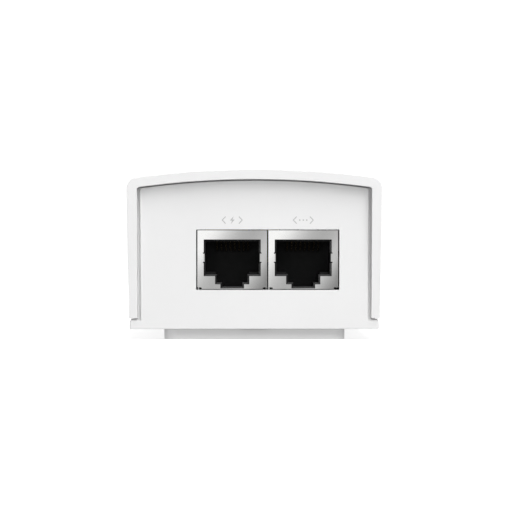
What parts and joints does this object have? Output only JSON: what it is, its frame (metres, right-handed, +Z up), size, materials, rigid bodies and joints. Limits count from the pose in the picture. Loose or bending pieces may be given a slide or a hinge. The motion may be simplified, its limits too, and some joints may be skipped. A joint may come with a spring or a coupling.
{
  "type": "poe injector",
  "caption": "Mains-powered PoE injector: an arched white case with a data-and-power jack beside a data jack at one end, a mains inlet at the other, and a slide-off wall bracket.",
  "frame": {"origin": "centre of the case's footprint, level with the wall bracket's underside", "axes": "+Y runs from the jack end to the mains inlet, +X to the right seen from the jacks, +Z up through the cover"},
  "size_m": [0.0576, 0.12, 0.0384],
  "materials": {
    "shell_white": "fine moulded texture",
    "bracket_white": "fine moulded texture",
    "screw_zinc": "zinc plated",
    "shield_nickel": "plated sheet",
    "jack_black": "satin",
    "block_black": "satin",
    "contact_gold": "gold plated",
    "inlet_black": "satin",
    "pin_nickel": "nickel plated",
    "board_green": "solder resist",
    "package_black": "moulded",
    "can_sleeve": "shrink sleeve",
    "sink_aluminium": "mill finish",
    "ferrite_grey": "sintered",
    "winding_tape": "polyester tape",
    "winding_copper": "enamelled wire",
    "film_yellow": "moulded box",
    "dipped_blue": "dipped coating",
    "fuse_brown": "moulded",
    "led_lens": "diffused",
    "insulation_card": "pressed card",
    "light_pipe_clear": "clear, polished"
  },
  "bodies": {
    "case": {"top_cover": "shell_white", "base_shell": "shell_white", "case_screw_1": "screw_zinc", "case_screw_2": "screw_zinc", "case_screw_3": "screw_zinc", "case_screw_4": "screw_zinc", "poe_jack_shield": "shield_nickel", "poe_jack_housing": "jack_black", "poe_contact_block": "block_black", "lan_jack_shield": "shield_nickel", "lan_jack_housing": "jack_black", "lan_contact_block": "block_black", "inlet_housing": "inlet_black", "inlet_pin_live": "pin_nickel", "inlet_pin_neutral": "pin_nickel", "inlet_pin_earth": "pin_nickel", "main_board": "board_green", "status_led": "led_lens", "data_transformer": "package_black", "output_capacitor_1": "can_sleeve", "output_capacitor_2": "can_sleeve", "transformer_core": "ferrite_grey", "transformer_winding": "winding_tape", "y_capacitor": "dipped_blue", "output_choke": "ferrite_grey", "secondary_heat_sink": "sink_aluminium", "output_rectifier": "package_black", "optocoupler": "package_black", "bulk_capacitor": "can_sleeve", "primary_heat_sink": "sink_aluminium", "switching_transistor": "package_black", "pwm_controller": "package_black", "bridge_rectifier": "package_black", "common_mode_choke": "winding_copper", "x_capacitor": "film_yellow", "fuse": "fuse_brown", "varistor": "dipped_blue", "insulation_sheet": "insulation_card", "light_pipe": "light_pipe_clear"},
    "bracket": {"wall_bracket": "bracket_white"},
    "poe_contacts": {"poe_contact_1": "contact_gold", "poe_contact_2": "contact_gold", "poe_contact_3": "contact_gold", "poe_contact_4": "contact_gold", "poe_contact_5": "contact_gold", "poe_contact_6": "contact_gold", "poe_contact_7": "contact_gold", "poe_contact_8": "contact_gold"},
    "lan_contacts": {"lan_contact_1": "contact_gold", "lan_contact_2": "contact_gold", "lan_contact_3": "contact_gold", "lan_contact_4": "contact_gold", "lan_contact_5": "contact_gold", "lan_contact_6": "contact_gold", "lan_contact_7": "contact_gold", "lan_contact_8": "contact_gold"}
  },
  "joints": [
    {"name": "bracket_slide", "type": "slide", "parent": "case", "child": "bracket", "axis": [0, -1, 0], "range_m": [0, 0.009]},
    {"name": "poe_contact_flex", "type": "hinge", "parent": "case", "child": "poe_contacts", "pos_m": [-0.00501, -0.0526, 0.02296], "axis": [1, 0, 0], "range_deg": [0, 7], "stiffness_Nm_per_rad": 0.05},
    {"name": "lan_contact_flex", "type": "hinge", "parent": "case", "child": "lan_contacts", "pos_m": [0.01105, -0.0526, 0.02296], "axis": [1, 0, 0], "range_deg": [0, 7], "stiffness_Nm_per_rad": 0.05}
  ]
}
